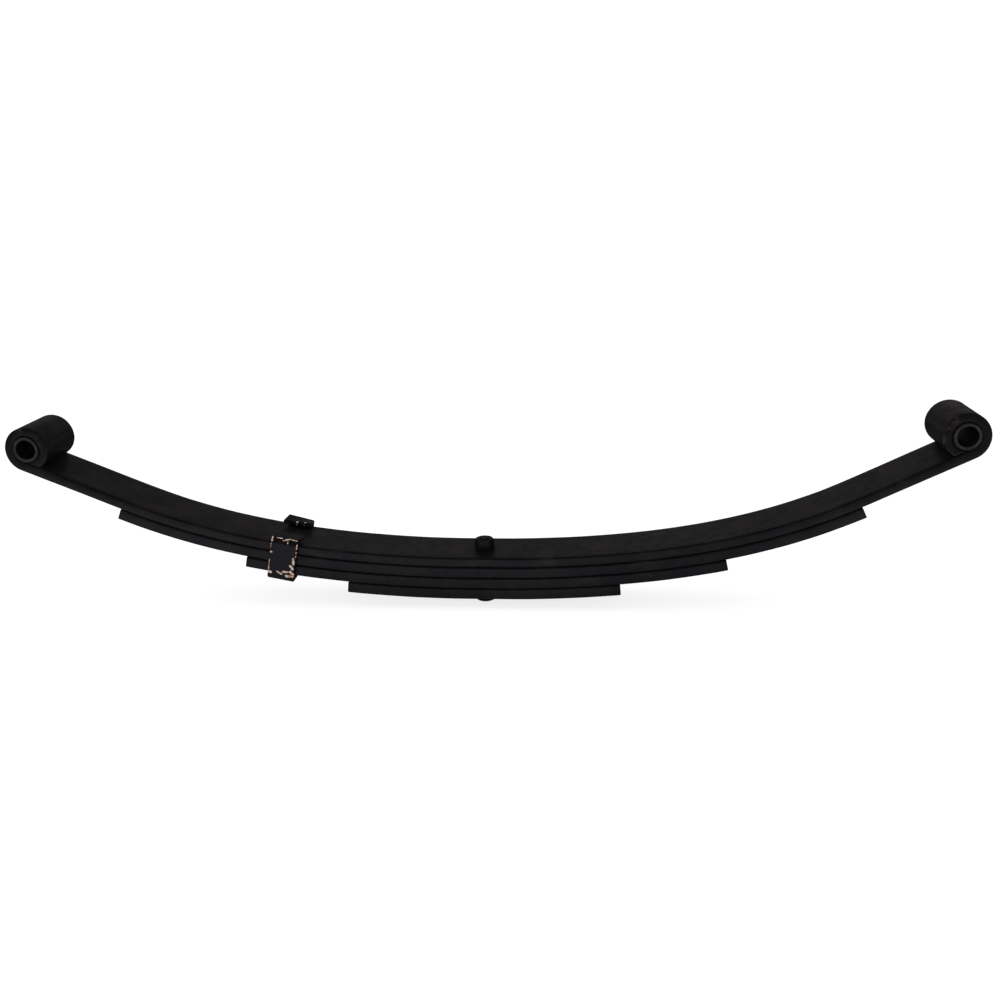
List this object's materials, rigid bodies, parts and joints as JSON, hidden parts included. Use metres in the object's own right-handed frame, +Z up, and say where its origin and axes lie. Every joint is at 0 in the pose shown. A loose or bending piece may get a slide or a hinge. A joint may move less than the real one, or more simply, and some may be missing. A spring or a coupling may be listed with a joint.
{
  "type": "leaf spring",
  "caption": "Multi-leaf double-eye trailer spring, black painted, with plain bushings in rolled eyes, a centre bolt and one rebound clip.",
  "frame": {"origin": "bottom centre of the spring, on the lower face of the centre bolt's head", "axes": "+X along the spring towards the right eye, +Y across the leaves, +Z up, towards the eyes"},
  "size_m": [0.6929, 0.052, 0.1471],
  "materials": {
    "leaf_paint": "semi-gloss black enamel, lightly dusty",
    "clip_paint": "black enamel, chipped to primer and rust along the edges",
    "fastener_paint": "black enamel over steel",
    "bushing_bronze": "dull bronze-coloured bushing, worn smooth on its end faces"
  },
  "bodies": {
    "leaf_pack": {"main_leaf": "leaf_paint", "second_leaf": "leaf_paint", "third_leaf": "leaf_paint", "fourth_leaf": "leaf_paint", "center_bolt": "fastener_paint", "center_nut": "fastener_paint", "rebound_clip": "clip_paint", "clip_rivet": "fastener_paint"},
    "left_end": {"left_bushing": "bushing_bronze"},
    "right_end": {"right_bushing": "bushing_bronze"}
  },
  "joints": [
    {"name": "left_arm_flex", "type": "hinge", "parent": "leaf_pack", "child": "left_end", "pos_m": [-0.165, 0, 0.0505], "axis": [0, -1, 0], "range_deg": [-2, 20], "stiffness_Nm_per_rad": 1950, "deforming": ["main_leaf", "second_leaf", "third_leaf", "fourth_leaf", "rebound_clip", "clip_rivet"]},
    {"name": "right_arm_flex", "type": "hinge", "parent": "leaf_pack", "child": "right_end", "pos_m": [0.165, 0, 0.0511], "axis": [0, 1, 0], "range_deg": [-2, 20], "stiffness_Nm_per_rad": 1950, "deforming": ["main_leaf", "second_leaf", "third_leaf", "fourth_leaf"]}
  ]
}
